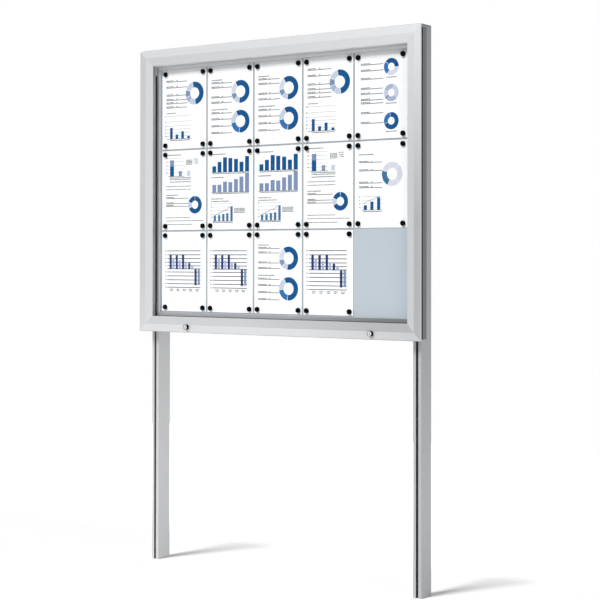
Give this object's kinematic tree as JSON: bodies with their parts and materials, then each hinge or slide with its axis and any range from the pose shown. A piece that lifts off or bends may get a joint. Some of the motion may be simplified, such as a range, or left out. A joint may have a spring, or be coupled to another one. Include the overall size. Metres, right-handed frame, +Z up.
{
  "type": "lockable notice board",
  "caption": "Free-standing outdoor notice board: shallow aluminium case on posts with a glazed door that swings up on a top hinge, cam locks, gas struts, and sheets held by magnets.",
  "frame": {"origin": "on the ground under the middle of the board, halfway between the lock heads' front and the posts' rear", "axes": "+Z up, -Y towards the reader, +X to the reader's right"},
  "size_m": [1.216, 0.1216, 1.9],
  "materials": {
    "aluminium": "satin anodised",
    "panel": "smooth powder coat, magnetic",
    "glazing": "clear toughened glass, 4 mm",
    "rubber": "black extruded rubber",
    "black_plastic": "moulded black",
    "black_metal": "black",
    "chrome": "bright plated",
    "zinc": "zinc plated",
    "paper": "white paper",
    "magnet": "black"
  },
  "bodies": {
    "case": {"case_top_profile": "aluminium", "case_bottom_profile": "aluminium", "case_left_profile": "aluminium", "case_right_profile": "aluminium", "case_corner_keys": "aluminium", "back_panel": "panel", "lip_seal": "rubber", "post_left": "aluminium", "post_right": "aluminium", "post_caps": "black_plastic", "post_bolts": "zinc", "slot_nuts": "zinc", "hinge_leaf_case": "aluminium", "hinge_pin": "zinc", "lock_keepers": "zinc", "strut_brackets_case": "zinc", "paper_sheets": "paper", "magnets": "magnet"},
    "door": {"door_top_rail": "aluminium", "door_bottom_rail": "aluminium", "door_left_rail": "aluminium", "door_right_rail": "aluminium", "door_corner_keys": "aluminium", "glazing": "glazing", "glazing_gasket": "rubber", "hinge_leaf_door": "aluminium", "edge_seal": "rubber", "lock_housings": "black_metal", "lock_nuts": "zinc", "strut_brackets_door": "zinc"},
    "lock_left": {"lock_plug_left": "chrome", "lock_cam_left": "zinc"},
    "strut_tube_left": {"strut_tube_left": "black_metal", "strut_eye_lower_left": "black_plastic"},
    "strut_rod_left": {"strut_rod_left": "chrome", "strut_eye_upper_left": "black_plastic"},
    "lock_right": {"lock_plug_right": "chrome", "lock_cam_right": "zinc"},
    "strut_tube_right": {"strut_tube_right": "black_metal", "strut_eye_lower_right": "black_plastic"},
    "strut_rod_right": {"strut_rod_right": "chrome", "strut_eye_upper_right": "black_plastic"}
  },
  "joints": [
    {"name": "door_hinge", "type": "hinge", "parent": "case", "child": "door", "pos_m": [0, -0.03775, 1.8915], "axis": [-1, 0, 0], "range_deg": [0, 75]},
    {"name": "lock_turn_left", "type": "hinge", "parent": "door", "child": "lock_left", "pos_m": [-0.379, -0.04975, 0.871], "axis": [0, -1, 0], "range_deg": [0, 90]},
    {"name": "strut_swing_left", "type": "hinge", "parent": "case", "child": "strut_tube_left", "pos_m": [-0.582, -0.01525, 1.5615], "axis": [1, 0, 0], "range_deg": [0, 22]},
    {"name": "strut_slide_left", "type": "slide", "parent": "strut_tube_left", "child": "strut_rod_left", "axis": [0, 0, 1], "range_m": [0, 0.0744]},
    {"name": "lock_turn_right", "type": "hinge", "parent": "door", "child": "lock_right", "pos_m": [0.415, -0.04975, 0.871], "axis": [0, -1, 0], "range_deg": [0, 90]},
    {"name": "strut_swing_right", "type": "hinge", "parent": "case", "child": "strut_tube_right", "pos_m": [0.582, -0.01525, 1.5615], "axis": [1, 0, 0], "range_deg": [0, 22]},
    {"name": "strut_slide_right", "type": "slide", "parent": "strut_tube_right", "child": "strut_rod_right", "axis": [0, 0, 1], "range_m": [0, 0.0744]}
  ],
  "couplings": [
    {"joint": "strut_swing_left", "follows": "door_hinge", "ratio": 0.29142},
    {"joint": "strut_slide_left", "follows": "door_hinge", "m_per_rad": 0.056727},
    {"joint": "strut_swing_right", "follows": "door_hinge", "ratio": 0.29142},
    {"joint": "strut_slide_right", "follows": "door_hinge", "m_per_rad": 0.056727}
  ]
}
